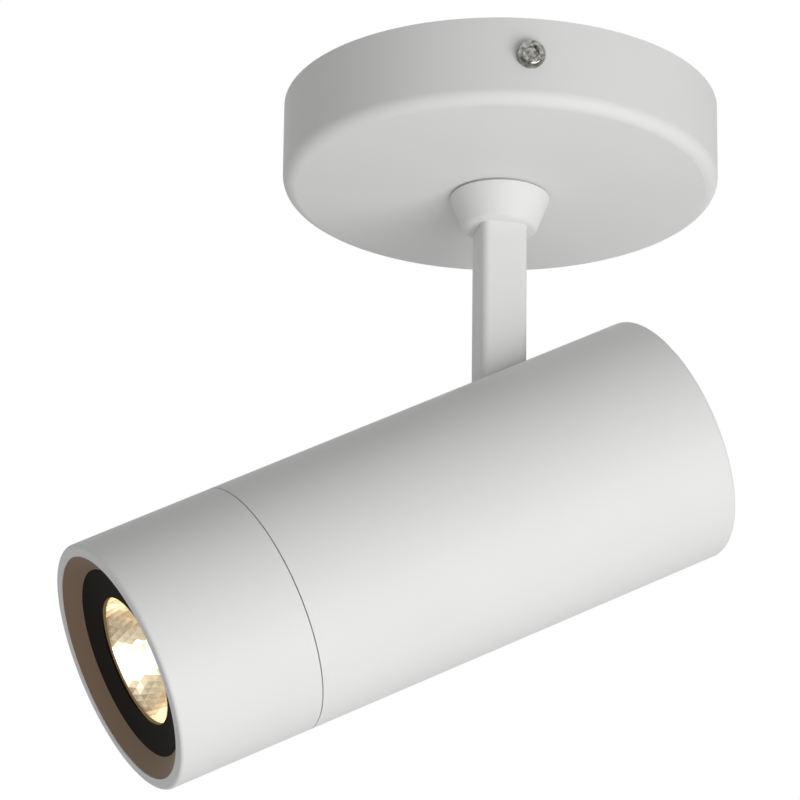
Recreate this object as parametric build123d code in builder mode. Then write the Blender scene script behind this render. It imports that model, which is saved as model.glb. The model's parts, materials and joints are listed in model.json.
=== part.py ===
from build123d import *
import os
from math import cos, radians, sin, sqrt

# Surface mounted ceiling spotlight. Millimetres, +Z up, origin at the centre of the canopy on the ceiling.
# The canopy is screwed to a strap on the ceiling, the square stem pans under it about Z, and the head
# tilts on a bolt at the stem's lower end. The head points towards -X and down, panned a little.

os.makedirs("parts", exist_ok=True)

# ---------------------------------------------------------------- driving dimensions

# rest pose
pan_angle = 8.0
tilt_angle = 28.0

# canopy
canopy_radius = 52.5
canopy_height = 21.2
canopy_wall = 1.6
canopy_edge_fillet = 3.2
canopy_crown = 1.7
screw_drop = 9.6

# swivel
collar_top_radius = 12.1
collar_bottom_radius = 8.8
collar_height = 8.5
collar_top_edge = 1.0
collar_bottom_edge = 0.5
seat_margin = 0.6
collar_washer_thickness = 0.5
nipple_radius = 4.0
nipple_bore = 2.5
nipple_top = 2.0
nipple_grip = 9.0
friction_washer_radius = 9.0
friction_washer_thickness = 1.0
stop_washer_radius = 8.0
stop_washer_thickness = 1.2
stop_tab_reach = 13.5
stop_tab_width = 4.0
stop_peg_radius = 1.5
stop_peg_circle = 11.5
swivel_nut_flat = 6.5
swivel_nut_thickness = 4.0

# stem and tilt hinge
pivot_drop = 103.1
stem_width = 11.2
stem_corner = 1.8
stem_end_radius = 6.2
wire_exit_radius = 2.3
wire_exit_height = 12.0
wire_exit_step = 0.6
hinge_bolt_radius = 2.5
hinge_washer_radius = 5.0
hinge_washer_thickness = 0.45
ear_thickness = 2.0
ear_radius = 8.0
bracket_reach = 16.0
bracket_half_height = 12.0
bracket_screw_spread = 8.5
bolt_head_radius = 4.5
bolt_head_height = 2.7
hinge_nut_flat = 4.0
hinge_nut_thickness = 5.0
disc_spring_thickness = 0.8

# head, measured forward along its axis from the hinge
head_radius = 30.1
head_wall = 2.1
head_front = 101.7
head_seam = 65.05
head_rear = 47.4
nose_fillet = 0.9
head_rear_fillet = 1.0
rear_lip_depth = 0.8
rear_lip_width = 0.7
cap_thickness = 3.0
slot_margin = 0.5
slot_end_margin = 0.7

# heat sink
hub_radius = 12.0
fin_count = 36
fin_thickness = 1.2
fin_front = 58.0
fin_margin = 0.6
flange_thickness = 2.0
flange_step = 0.9
spigot_length = 7.1
spigot_wall = 2.6
pedestal_radius = 21.0
pillar_radius = 3.2
pillar_drop = 17.0
pillar_spread = 15.0
tie_grip = 12.0
seal_height = 1.6
seal_depth = 1.1
seal_offset = 2.0

# lamp unit
pad_radius = 12.5
pad_thickness = 0.3
board_radius = 13.0
board_thickness = 1.6
chip_radius = 6.4
chip_thickness = 0.8
holder_radius = 20.0
holder_height = 3.9
holder_mouth = 7.9
holder_screw_circle = 16.6
lead_radius = 1.0
lead_spread = 9.5
lead_tail = 8.0
reflector_neck = 7.2
reflector_middle = 12.2
reflector_mouth = 15.6
reflector_wall = 0.8
reflector_rim = 1.8

# front barrel
barrel_wall = 2.5
barrel_lip_wall = 2.8
ledge_width = 1.3
ledge_height = 1.5
trim_width = 4.2
trim_outer_depth = 0.2
trim_inner_depth = 3.1
trim_seat_depth = 3.8
baffle_mouth_depth = 4.25
baffle_back_depth = 6.0
lens_thickness = 0.6

# ceiling strap and canopy fittings
strap_width = 18.0
strap_thickness = 1.5
tab_thickness = 1.8
tab_height = 14.0
slot_spacing = 60.0
slot_length = 12.0
slot_radius = 2.25
cable_hole_radius = 6.0
side_screw_radius = 2.0
side_screw_head_radius = 3.4
side_screw_head_height = 2.6
side_screw_length = 8.0
side_screw_socket = 1.7
driver_width = 28.0
driver_length = 38.0
driver_height = 13.0
driver_clearance = 1.5
driver_corner = 1.5
tape_margin = 1.0
tape_thickness = 0.8
terminal_width = 16.0
terminal_length = 30.0
terminal_height = 12.5
terminal_clearance = 5.0
terminal_pole_pitch = 9.5
terminal_screw_radius = 1.6
terminal_screw_pitch = 8.0
terminal_screw_depth = 5.0
lead_height = 5.0
mains_lead_radius = 1.1
earth_boss_radius = 4.0
earth_boss_height = 4.0
earth_boss_across = 24.0
earth_boss_along = 30.0
earth_head_radius = 3.6
earth_head_height = 2.2

# fasteners and clearances
m3_radius = 1.5
m3_head_radius = 2.75
m3_head_height = 2.0
m3_grip = 8.0
thread_clearance = 0.02
running_clearance = 0.05
hole_clearance = 0.15
fit_clearance = 0.1
face_clearance = 0.05
body_gap = 0.3

# ---------------------------------------------------------------- derived places

canopy_inner_radius = canopy_radius - canopy_wall
canopy_floor = canopy_height - canopy_wall
canopy_seat = canopy_height + canopy_crown
collar_top = canopy_seat + collar_washer_thickness
collar_bottom = collar_top + collar_height
driver_offset = stop_tab_reach + driver_clearance + driver_width / 2
terminal_offset = stop_peg_circle + stop_peg_radius + terminal_clearance + terminal_width / 2

across = Vector(cos(radians(pan_angle)), sin(radians(pan_angle)), 0)
hinge_line = Vector(-sin(radians(pan_angle)), cos(radians(pan_angle)), 0)
upright = Vector(0, 0, 1)
forward = across * -cos(radians(tilt_angle)) + upright * -sin(radians(tilt_angle))
head_up = across * -sin(radians(tilt_angle)) + upright * cos(radians(tilt_angle))
pivot = Vector(0, 0, -pivot_drop)

swivel = Plane(origin=(0, 0, 0), x_dir=across, z_dir=upright)
head = Plane(origin=pivot, x_dir=head_up, z_dir=forward)
head_axis = Axis(pivot, forward)
head_section = Plane(origin=pivot, x_dir=head_up, z_dir=hinge_line * -1)
head_top = Plane(origin=pivot, x_dir=forward, z_dir=head_up)
hinge = Plane(origin=pivot, x_dir=head_up, z_dir=hinge_line)
stem_side = Plane(origin=pivot, x_dir=upright, z_dir=hinge_line)

head_bore = head_radius - head_wall
barrel_bore = head_radius - barrel_wall
spigot_radius = barrel_bore - running_clearance
housing_front = head_seam - body_gap / 2
barrel_rear = head_seam + body_gap / 2
spigot_front = housing_front + spigot_length
stem_half = stem_width / 2
ear_inner = stem_half + face_clearance + hinge_washer_thickness
ear_outer = ear_inner + ear_thickness
slot_half = stem_half + slot_margin
slot_front = stem_half + slot_end_margin
bracket_face = bracket_reach - ear_thickness

# ---------------------------------------------------------------- repeated shapes


def ring(plane, outer, inner, height):
    """A flat ring standing on a plane, or a disc where its inner radius is zero."""
    with BuildPart() as piece:
        with BuildSketch(plane):
            Circle(outer)
            if inner > 0:
                Circle(inner, mode=Mode.SUBTRACT)
        extrude(amount=height)
    return piece


def turned(plane, axis, points):
    """A solid of revolution whose section is a closed polygon of (radius, height) points."""
    with BuildPart() as piece:
        with BuildSketch(plane):
            with BuildLine():
                Polyline(*points, close=True)
            make_face()
        revolve(axis=axis)
    return piece


def hex_nut(plane, flat, bore, height):
    """A hexagonal nut standing on a plane, with its flats at the given distance from its axis."""
    with BuildPart() as piece:
        with BuildSketch(plane):
            RegularPolygon(flat, side_count=6, major_radius=False)
            Circle(bore, mode=Mode.SUBTRACT)
        extrude(amount=height)
    return piece


def screws(planes, shank, length, head_radius, head_height, drive):
    """Screws whose heads stand on the given planes and whose shanks go down through them."""
    with BuildPart() as piece:
        with BuildSketch(*planes):
            Circle(head_radius)
        extrude(amount=head_height)
        with BuildSketch(*planes):
            Circle(shank)
        extrude(amount=-length)
        with BuildSketch(*[plane.offset(head_height / 2) for plane in planes]):
            RegularPolygon(drive, side_count=6)
        extrude(amount=head_height, mode=Mode.SUBTRACT)
    return piece


# ---------------------------------------------------------------- canopy

hole_line = Plane(origin=(0, 0, -screw_drop), x_dir=(1, 0, 0), z_dir=(0, 1, 0))

# Cast cup, open at the ceiling, with a crowned underside and a flat seat for the collar.
with BuildPart() as canopy_cover:
    with BuildSketch(Plane.XZ) as canopy_profile:
        with BuildLine():
            seat_radius = collar_top_radius + seat_margin
            crown_start = (canopy_radius, -canopy_height)
            crown_end = (seat_radius, -canopy_seat)
            swivel_hole = nipple_radius + running_clearance
            Polyline(
                crown_end,
                (swivel_hole, -canopy_seat),
                (swivel_hole, -canopy_floor),
                (canopy_inner_radius, -canopy_floor),
                (canopy_inner_radius, 0),
                (canopy_radius, 0),
                crown_start,
            )
            TangentArc(crown_end, crown_start, tangent=(1, 0))
        make_face()
        corner = canopy_profile.vertices().sort_by_distance((canopy_radius, -canopy_height))[0]
        fillet(corner, canopy_edge_fillet)
        inside = canopy_profile.vertices().sort_by_distance((canopy_inner_radius, -canopy_floor))[0]
        fillet(inside, canopy_edge_fillet - canopy_wall)
    revolve(axis=Axis.Z)
    with Locations(hole_line):
        Cylinder(side_screw_radius + hole_clearance, 2 * canopy_radius + 1, mode=Mode.SUBTRACT)
    with BuildSketch(Plane.XY.offset(-canopy_floor)):
        with Locations((-stop_peg_circle, 0)):
            Circle(stop_peg_radius)
    extrude(amount=friction_washer_thickness + 2 * stop_washer_thickness)
    with BuildSketch(Plane.XY.offset(-canopy_floor)):
        with Locations((-earth_boss_across, earth_boss_along)):
            Circle(earth_boss_radius)
    extrude(amount=earth_boss_height)
    with BuildSketch(Plane.XY.offset(earth_boss_height - canopy_floor)):
        with Locations((-earth_boss_across, earth_boss_along)):
            Circle(m3_radius + thread_clearance)
    extrude(amount=-earth_boss_height, mode=Mode.SUBTRACT)
canopy_cover.part.label = "canopy_cover"
export_step(canopy_cover.part, "parts/canopy_cover.step")

# Sheet steel strap on the ceiling, with a tab bent down at each end for a side screw.
tab_face = sqrt(canopy_inner_radius**2 - (strap_width / 2) ** 2) - body_gap
with BuildPart() as mounting_bracket:
    with BuildSketch(Plane.XY):
        Rectangle(strap_width, 2 * tab_face)
        Circle(cable_hole_radius, mode=Mode.SUBTRACT)
        with Locations((0, slot_spacing / 2), (0, -slot_spacing / 2)):
            SlotOverall(slot_length, 2 * slot_radius, rotation=90, mode=Mode.SUBTRACT)
    extrude(amount=-strap_thickness)
    with BuildSketch(Plane.XY):
        with Locations((0, tab_face - tab_thickness / 2), (0, tab_thickness / 2 - tab_face)):
            Rectangle(strap_width, tab_thickness)
    extrude(amount=-tab_height)
    with Locations(hole_line):
        Cylinder(side_screw_radius + thread_clearance, 2 * canopy_radius, mode=Mode.SUBTRACT)
mounting_bracket.part.label = "mounting_bracket"
export_step(mounting_bracket.part, "parts/mounting_bracket.step")

# Low head socket screws, one on each side, that hold the canopy to the strap.
side_screw_seats = [
    Plane(origin=(0, side * canopy_radius, -screw_drop), x_dir=(1, 0, 0), z_dir=(0, side, 0))
    for side in (-1, 1)
]
canopy_screws = screws(
    side_screw_seats,
    side_screw_radius,
    side_screw_length,
    side_screw_head_radius,
    side_screw_head_height,
    side_screw_socket,
)
canopy_screws.part.label = "canopy_screws"
export_step(canopy_screws.part, "parts/canopy_screws.step")

# Foam tape that holds the driver to the canopy's floor.
with BuildPart() as driver_tape:
    with BuildSketch(Plane.XY.offset(-canopy_floor)):
        with Locations((driver_offset, 0)):
            Rectangle(driver_width - 2 * tape_margin, driver_length - 2 * tape_margin)
    extrude(amount=tape_thickness)
driver_tape.part.label = "driver_tape"
export_step(driver_tape.part, "parts/driver_tape.step")

# Constant current driver in a moulded case.
with BuildPart() as led_driver:
    with BuildSketch(Plane.XY.offset(tape_thickness - canopy_floor)):
        with Locations((driver_offset, 0)):
            RectangleRounded(driver_width, driver_length, driver_corner)
    extrude(amount=driver_height)
    fillet(led_driver.faces().sort_by(Axis.Z)[-1].edges(), driver_corner / 2)
led_driver.part.label = "led_driver"
export_step(led_driver.part, "parts/led_driver.step")

# Three pole terminal block, with a screw over each end of each pole.
terminal_poles = [
    (column - terminal_offset, pole * terminal_pole_pitch)
    for column in (-terminal_screw_pitch / 2, terminal_screw_pitch / 2)
    for pole in (-1, 0, 1)
]
terminal_top = Plane.XY.offset(terminal_height - canopy_floor)
terminal_wire_side = Plane(
    origin=(-terminal_offset, 0, lead_height - canopy_floor), x_dir=(0, 1, 0), z_dir=(1, 0, 0)
)
with BuildPart() as terminal_block:
    with BuildSketch(Plane.XY.offset(-canopy_floor)):
        with Locations((-terminal_offset, 0)):
            Rectangle(terminal_width, terminal_length)
    extrude(amount=terminal_height)
    with BuildSketch(terminal_top):
        with Locations(*terminal_poles):
            Circle(terminal_screw_radius + hole_clearance)
    extrude(amount=-terminal_screw_depth, mode=Mode.SUBTRACT)
    with BuildSketch(terminal_wire_side):
        with Locations(*[(pole * terminal_pole_pitch, 0) for pole in (-1, 0, 1)]):
            Circle(mains_lead_radius + hole_clearance)
    extrude(amount=terminal_width / 2, both=True, mode=Mode.SUBTRACT)
terminal_block.part.label = "terminal_block"
export_step(terminal_block.part, "parts/terminal_block.step")

# The block's clamping screws, sunk a little below its top.
with BuildPart() as terminal_screws:
    with BuildSketch(terminal_top.offset(-terminal_screw_depth)):
        with Locations(*terminal_poles):
            Circle(terminal_screw_radius)
    extrude(amount=terminal_screw_depth / 2)
terminal_screws.part.label = "terminal_screws"
export_step(terminal_screws.part, "parts/terminal_screws.step")

# Live and neutral leads from the block's two outer poles to the driver.
block_wire_start = terminal_offset - terminal_screw_pitch / 2
driver_face = driver_offset - driver_width / 2
with BuildPart() as driver_leads:
    with BuildSketch(terminal_wire_side.offset(terminal_offset - block_wire_start)):
        with Locations((terminal_pole_pitch, 0), (-terminal_pole_pitch, 0)):
            Circle(mains_lead_radius)
    extrude(amount=driver_face + block_wire_start)
driver_leads.part.label = "driver_leads"
export_step(driver_leads.part, "parts/driver_leads.step")

# Earth screw in its boss.
earth_seat = Plane(
    origin=(-earth_boss_across, earth_boss_along, earth_boss_height - canopy_floor), z_dir=(0, 0, 1)
)
earth_screw = screws(
    [earth_seat],
    m3_radius,
    earth_boss_height - canopy_wall / 2,
    earth_head_radius,
    earth_head_height,
    m3_radius,
)
earth_screw.part.label = "earth_screw"
export_step(earth_screw.part, "parts/earth_screw.step")

# ---------------------------------------------------------------- swivel and stem

# Thin washer that keeps the collar off the painted canopy.
washer_play = face_clearance
collar_washer = ring(
    swivel.offset(-collar_top),
    collar_top_radius - collar_top_edge / 2,
    nipple_radius + running_clearance,
    collar_washer_thickness - washer_play,
)
collar_washer.part.label = "collar_washer"
export_step(collar_washer.part, "parts/collar_washer.step")

# Conical collar between the canopy and the stem.
with BuildPart() as swivel_collar:
    with BuildSketch(swivel.offset(-collar_bottom)):
        Circle(collar_bottom_radius)
    with BuildSketch(swivel.offset(-collar_top - collar_top_edge)):
        Circle(collar_top_radius)
    loft()
    with BuildSketch(swivel.offset(-collar_top - collar_top_edge)):
        Circle(collar_top_radius)
    extrude(amount=collar_top_edge)
    fillet(swivel_collar.edges().sort_by(Axis.Z)[-1], collar_top_edge * 0.9)
    fillet(swivel_collar.edges().sort_by(Axis.Z)[0], collar_bottom_edge)
    with BuildSketch(swivel.offset(-collar_top)):
        Circle(nipple_radius + thread_clearance)
    extrude(amount=-collar_height, mode=Mode.SUBTRACT)
swivel_collar.part.label = "swivel_collar"
export_step(swivel_collar.part, "parts/swivel_collar.step")

# Washers and nut on the canopy's inner floor, which set the friction of the swivel.
friction_washer = ring(
    swivel.offset(face_clearance - canopy_floor),
    friction_washer_radius,
    nipple_radius + running_clearance,
    friction_washer_thickness,
)
friction_washer.part.label = "friction_washer"
export_step(friction_washer.part, "parts/friction_washer.step")

stop_washer_base = canopy_floor - face_clearance - friction_washer_thickness
with BuildPart() as stop_washer:
    with BuildSketch(swivel.offset(-stop_washer_base)):
        Circle(stop_washer_radius)
        with Locations((stop_tab_reach / 2, 0)):
            Rectangle(stop_tab_reach, stop_tab_width)
        Circle(nipple_radius + running_clearance, mode=Mode.SUBTRACT)
    extrude(amount=stop_washer_thickness)
stop_washer.part.label = "stop_washer"
export_step(stop_washer.part, "parts/stop_washer.step")

nut_base = stop_washer_base - stop_washer_thickness
swivel_nut = hex_nut(
    swivel.offset(-nut_base), swivel_nut_flat, nipple_radius + thread_clearance, swivel_nut_thickness
)
swivel_nut.part.label = "swivel_nut"
export_step(swivel_nut.part, "parts/swivel_nut.step")

# Threaded tube that carries the stem and lets the leads through.
nipple_start = nut_base - swivel_nut_thickness - nipple_top
nipple_end = collar_bottom + nipple_grip
swivel_nipple = ring(swivel.offset(-nipple_end), nipple_radius, nipple_bore, nipple_end - nipple_start)
swivel_nipple.part.label = "swivel_nipple"
export_step(swivel_nipple.part, "parts/swivel_nipple.step")

# Square stem with a round end at the hinge, a bore for the leads and their way out above the bolt.
stem_length = pivot_drop - collar_bottom
wire_floor = pivot_drop - wire_exit_height
with BuildPart() as stem:
    with BuildSketch(swivel.offset(-pivot_drop - stem_width)):
        RectangleRounded(stem_width, stem_width, stem_corner)
    extrude(amount=stem_length + stem_width)
    with BuildSketch(stem_side):
        with Locations((-stem_width, 0)):
            Rectangle(2 * stem_width, 4 * stem_width)
        Circle(stem_end_radius, mode=Mode.SUBTRACT)
    extrude(amount=stem_width, both=True, mode=Mode.SUBTRACT)
    with BuildSketch(swivel.offset(-wire_floor)):
        Circle(nipple_bore)
    extrude(amount=wire_floor - collar_bottom, mode=Mode.SUBTRACT)
    with BuildSketch(swivel.offset(-collar_bottom)):
        Circle(nipple_radius + thread_clearance)
    extrude(amount=-nipple_grip, mode=Mode.SUBTRACT)
    wire_exit = Vector(0, 0, wire_exit_radius + wire_exit_step - wire_floor)
    with BuildSketch(Plane(origin=wire_exit, x_dir=upright, z_dir=across * -1)):
        Circle(wire_exit_radius)
    extrude(amount=stem_width, mode=Mode.SUBTRACT)
    with BuildSketch(hinge.offset(-stem_width)):
        Circle(hinge_bolt_radius + running_clearance)
    extrude(amount=2 * stem_width, mode=Mode.SUBTRACT)
stem.part.label = "stem"
export_step(stem.part, "parts/stem.step")

# The two leads inside the stem.
stem_lead_radius = (nipple_bore - running_clearance) * 0.38
with BuildPart() as stem_leads:
    with BuildSketch(swivel.offset(wire_exit_radius - wire_floor)):
        with Locations((0, stem_lead_radius + fit_clearance), (0, -stem_lead_radius - fit_clearance)):
            Circle(stem_lead_radius)
    extrude(amount=wire_floor - wire_exit_radius - nipple_start + nipple_top)
stem_leads.part.label = "stem_leads"
export_step(stem_leads.part, "parts/stem_leads.step")

# ---------------------------------------------------------------- tilt hinge

# Folded bracket on the back of the heat sink, with an ear on each side of the stem.
bracket_screw_places = [(bracket_screw_spread, 0), (-bracket_screw_spread, 0)]
with BuildPart() as hinge_bracket:
    with BuildSketch(hinge.offset(ear_inner), hinge.offset(-ear_outer)):
        Circle(ear_radius)
        with Locations((0, -bracket_reach / 2)):
            Rectangle(2 * ear_radius, bracket_reach)
    extrude(amount=ear_thickness)
    with BuildSketch(head.offset(bracket_face)):
        Rectangle(2 * bracket_half_height, 2 * ear_outer)
        with Locations(*bracket_screw_places):
            Circle(m3_radius + hole_clearance, mode=Mode.SUBTRACT)
    extrude(amount=ear_thickness)
    with BuildSketch(hinge.offset(-ear_outer)):
        Circle(hinge_bolt_radius + running_clearance)
    extrude(amount=2 * ear_outer, mode=Mode.SUBTRACT)
hinge_bracket.part.label = "hinge_bracket"
export_step(hinge_bracket.part, "parts/hinge_bracket.step")

# Nylon washers between the stem and the ears.
with BuildPart() as hinge_washers:
    with BuildSketch(hinge.offset(stem_half + face_clearance), hinge.offset(-ear_inner)):
        Circle(hinge_washer_radius)
        Circle(hinge_bolt_radius + running_clearance, mode=Mode.SUBTRACT)
    extrude(amount=hinge_washer_thickness)
hinge_washers.part.label = "hinge_washers"
export_step(hinge_washers.part, "parts/hinge_washers.step")

# Bolt, disc spring and locking nut that set the friction of the tilt.
bolt_grip = 2 * ear_outer + disc_spring_thickness + hinge_nut_thickness
bolt_seat = Plane(origin=pivot - hinge_line * ear_outer, x_dir=head_up, z_dir=hinge_line * -1)
hinge_bolt = screws(
    [bolt_seat], hinge_bolt_radius, bolt_grip, bolt_head_radius, bolt_head_height, hinge_bolt_radius / 2
)
hinge_bolt.part.label = "hinge_bolt"
export_step(hinge_bolt.part, "parts/hinge_bolt.step")

disc_spring = ring(
    hinge.offset(ear_outer),
    hinge_washer_radius,
    hinge_bolt_radius + running_clearance,
    disc_spring_thickness,
)
disc_spring.part.label = "disc_spring"
export_step(disc_spring.part, "parts/disc_spring.step")

hinge_nut = hex_nut(
    hinge.offset(ear_outer + disc_spring_thickness),
    hinge_nut_flat,
    hinge_bolt_radius + thread_clearance,
    hinge_nut_thickness,
)
hinge_nut.part.label = "hinge_nut"
export_step(hinge_nut.part, "parts/hinge_nut.step")

# Screws from the bracket into the heat sink's hub.
bracket_screw_seats = [
    Plane(
        origin=pivot + forward * bracket_face + head_up * height,
        x_dir=head_up,
        z_dir=forward * -1,
    )
    for height, _ in bracket_screw_places
]
bracket_screws = screws(
    bracket_screw_seats, m3_radius, ear_thickness + m3_grip, m3_head_radius, m3_head_height, m3_radius / 2
)
bracket_screws.part.label = "bracket_screws"
export_step(bracket_screws.part, "parts/bracket_screws.step")

# ---------------------------------------------------------------- head housing

# Tube with a slot along its top and back for the stem, a counterbore in front and a lip behind.
counterbore_radius = head_bore + flange_step + fit_clearance
lip_inner_radius = head_bore - rear_lip_width
flange_back = housing_front - flange_thickness
with BuildPart() as rear_housing:
    with BuildSketch(head_section) as housing_profile:
        with BuildLine():
            Polyline(
                (lip_inner_radius, -head_rear),
                (head_radius, -head_rear),
                (head_radius, housing_front),
                (counterbore_radius, housing_front),
                (counterbore_radius, flange_back),
                (head_bore, flange_back),
                (head_bore, rear_lip_depth - head_rear),
                (lip_inner_radius, rear_lip_depth - head_rear),
                close=True,
            )
        make_face()
        back_corner = housing_profile.vertices().sort_by_distance((head_radius, -head_rear))[0]
        fillet(back_corner, head_rear_fillet)
    revolve(axis=head_axis)
    slot_run = head_rear + slot_front
    with BuildSketch(head_top):
        with Locations((slot_front - slot_run, 0)):
            RectangleRounded(2 * slot_run, 2 * slot_half, stem_corner)
    extrude(amount=head_radius + 1, mode=Mode.SUBTRACT)
rear_housing.part.label = "rear_housing"
export_step(rear_housing.part, "parts/rear_housing.step")

# Disc that closes the back, cut open from the top to just past the axis for the stem.
cap_back = head_rear - rear_lip_depth
tie_places = [(-pillar_drop, pillar_spread), (-pillar_drop, -pillar_spread)]
with BuildPart() as rear_cap:
    with BuildSketch(head.offset(-cap_back)):
        Circle(head_bore - fit_clearance)
        with Locations((head_radius - slot_front, 0)):
            RectangleRounded(2 * head_radius, 2 * slot_half, stem_corner, mode=Mode.SUBTRACT)
        with Locations(*tie_places):
            Circle(m3_radius + hole_clearance, mode=Mode.SUBTRACT)
    extrude(amount=cap_thickness)
    with BuildSketch(head.offset(-cap_back)):
        with Locations(*tie_places):
            Circle(m3_head_radius + hole_clearance)
    extrude(amount=cap_thickness / 2, mode=Mode.SUBTRACT)
rear_cap.part.label = "rear_cap"
export_step(rear_cap.part, "parts/rear_cap.step")

# Long screws from the cap to the heat sink, which clamp the tube between the two.
tie_seats = [
    Plane(
        origin=pivot + forward * (cap_thickness / 2 - cap_back) + head_up * height + hinge_line * side,
        x_dir=head_up,
        z_dir=forward * -1,
    )
    for height, side in tie_places
]
tie_length = cap_back - cap_thickness / 2 + bracket_reach + tie_grip
tie_screws = screws(tie_seats, m3_radius, tie_length, m3_head_radius, cap_thickness / 2, m3_radius / 2)
tie_screws.part.label = "tie_screws"
export_step(tie_screws.part, "parts/tie_screws.step")

# ---------------------------------------------------------------- heat sink

fin_radius = head_bore - fin_margin
sink_steps = [
    (fin_front, head_bore - fit_clearance, flange_back - fin_front),
    (flange_back, counterbore_radius - fit_clearance, flange_thickness),
    (housing_front, spigot_radius, spigot_length),
]
# Radial fins round a hub, then a plate, a flange for the tube and a spigot for the barrel.
with BuildPart() as heat_sink:
    with BuildSketch(head.offset(bracket_reach)):
        Circle(hub_radius)
        with Locations(*tie_places):
            Circle(pillar_radius)
        with PolarLocations(fin_radius / 2, fin_count, start_angle=180 / fin_count):
            Rectangle(fin_radius, fin_thickness)
        Circle(fin_radius, mode=Mode.INTERSECT)
    extrude(amount=fin_front - bracket_reach)
    for base, radius, height in sink_steps:
        with BuildSketch(head.offset(base)):
            Circle(radius)
        extrude(amount=height)
    with BuildSketch(head.offset(spigot_front)):
        Circle(spigot_radius - spigot_wall)
        Circle(pedestal_radius, mode=Mode.SUBTRACT)
    extrude(amount=flange_back - spigot_front, mode=Mode.SUBTRACT)
    with BuildSketch(head.offset(housing_front + seal_offset)):
        Circle(spigot_radius + fit_clearance)
        Circle(spigot_radius - seal_depth, mode=Mode.SUBTRACT)
    extrude(amount=seal_height, mode=Mode.SUBTRACT)
    with BuildSketch(head.offset(bracket_reach)):
        with Locations(*tie_places):
            Circle(m3_radius + thread_clearance)
    extrude(amount=tie_grip + 1, mode=Mode.SUBTRACT)
    with BuildSketch(head.offset(bracket_reach)):
        with Locations(*bracket_screw_places):
            Circle(m3_radius + thread_clearance)
    extrude(amount=m3_grip + 1, mode=Mode.SUBTRACT)
    with BuildSketch(head.offset(bracket_reach)):
        with Locations((0, lead_spread), (0, -lead_spread)):
            Circle(lead_radius + hole_clearance)
    extrude(amount=spigot_front - bracket_reach, mode=Mode.SUBTRACT)
    with BuildSketch(head.offset(spigot_front)):
        with Locations((holder_screw_circle, 0), (-holder_screw_circle, 0)):
            Circle(m3_radius + thread_clearance)
    extrude(amount=-m3_grip, mode=Mode.SUBTRACT)
heat_sink.part.label = "heat_sink"
export_step(heat_sink.part, "parts/heat_sink.step")

# Rubber ring in the spigot's groove, which the barrel closes on.
barrel_seal = ring(
    head.offset(housing_front + seal_offset),
    spigot_radius,
    spigot_radius - seal_depth,
    seal_height,
)
barrel_seal.part.label = "barrel_seal"
export_step(barrel_seal.part, "parts/barrel_seal.step")

# ---------------------------------------------------------------- lamp unit

board_base = spigot_front + pad_thickness
board_top = board_base + board_thickness
chip_top = board_top + chip_thickness
holder_top = spigot_front + holder_height
lead_places = [(0, lead_spread), (0, -lead_spread)]

# Heat conducting pad under the board.
with BuildPart() as thermal_pad:
    with BuildSketch(head.offset(spigot_front)):
        Circle(pad_radius)
        with Locations(*lead_places):
            Circle(lead_radius + hole_clearance, mode=Mode.SUBTRACT)
    extrude(amount=pad_thickness)
thermal_pad.part.label = "thermal_pad"
export_step(thermal_pad.part, "parts/thermal_pad.step")

# Metal core board.
with BuildPart() as led_board:
    with BuildSketch(head.offset(board_base)):
        Circle(board_radius)
        with Locations(*lead_places):
            Circle(lead_radius + hole_clearance, mode=Mode.SUBTRACT)
    extrude(amount=board_thickness)
led_board.part.label = "led_board"
export_step(led_board.part, "parts/led_board.step")

# Round light source on the board.
led_chip = ring(head.offset(board_top), chip_radius, 0, chip_thickness)
led_chip.part.label = "led_chip"
export_step(led_chip.part, "parts/led_chip.step")

# Moulded holder that clamps the board and seats the reflector.
with BuildPart() as led_holder:
    with BuildSketch(head_section):
        with BuildLine():
            Polyline(
                (holder_radius, spigot_front),
                (holder_radius, holder_top),
                (holder_mouth, holder_top),
                (holder_mouth, board_top),
                (board_radius + fit_clearance, board_top),
                (board_radius + fit_clearance, spigot_front),
                close=True,
            )
        make_face()
    revolve(axis=head_axis)
    with BuildSketch(head.offset(spigot_front)):
        with Locations((holder_screw_circle, 0), (-holder_screw_circle, 0)):
            Circle(m3_radius + hole_clearance)
    extrude(amount=holder_height, mode=Mode.SUBTRACT)
    with BuildSketch(head.offset(board_top)):
        with Locations(*lead_places):
            Circle(lead_radius + 2 * hole_clearance)
    extrude(amount=chip_thickness, mode=Mode.SUBTRACT)
led_holder.part.label = "led_holder"
export_step(led_holder.part, "parts/led_holder.step")

# Leads through the heat sink, soldered at the face of the board.
with BuildPart() as board_leads:
    with BuildSketch(head.offset(lead_tail)):
        with Locations(*lead_places):
            Circle(lead_radius)
    extrude(amount=board_top + chip_thickness / 2 - lead_tail)
board_leads.part.label = "board_leads"
export_step(board_leads.part, "parts/board_leads.step")

# Screws that hold the holder to the heat sink.
holder_screw_seats = [
    Plane(origin=pivot + forward * holder_top + head_up * height, x_dir=head_up, z_dir=forward)
    for height in (holder_screw_circle, -holder_screw_circle)
]
holder_screws = screws(
    holder_screw_seats,
    m3_radius,
    holder_height + m3_grip / 2,
    m3_head_radius,
    m3_head_height,
    m3_radius / 2,
)
holder_screws.part.label = "holder_screws"
export_step(holder_screws.part, "parts/holder_screws.step")

# ---------------------------------------------------------------- front barrel

ledge_front = head_front - baffle_back_depth
lens_front = head_front - baffle_mouth_depth - 2 * fit_clearance
lens_back = lens_front - lens_thickness
reflector_front = lens_back - body_gap
lens_radius = reflector_mouth + reflector_rim + body_gap
baffle_mouth_radius = reflector_mouth + running_clearance
lip_radius = head_radius - barrel_lip_wall
trim_radius = lip_radius - fit_clearance
trim_inner_radius = trim_radius - trim_width

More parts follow.
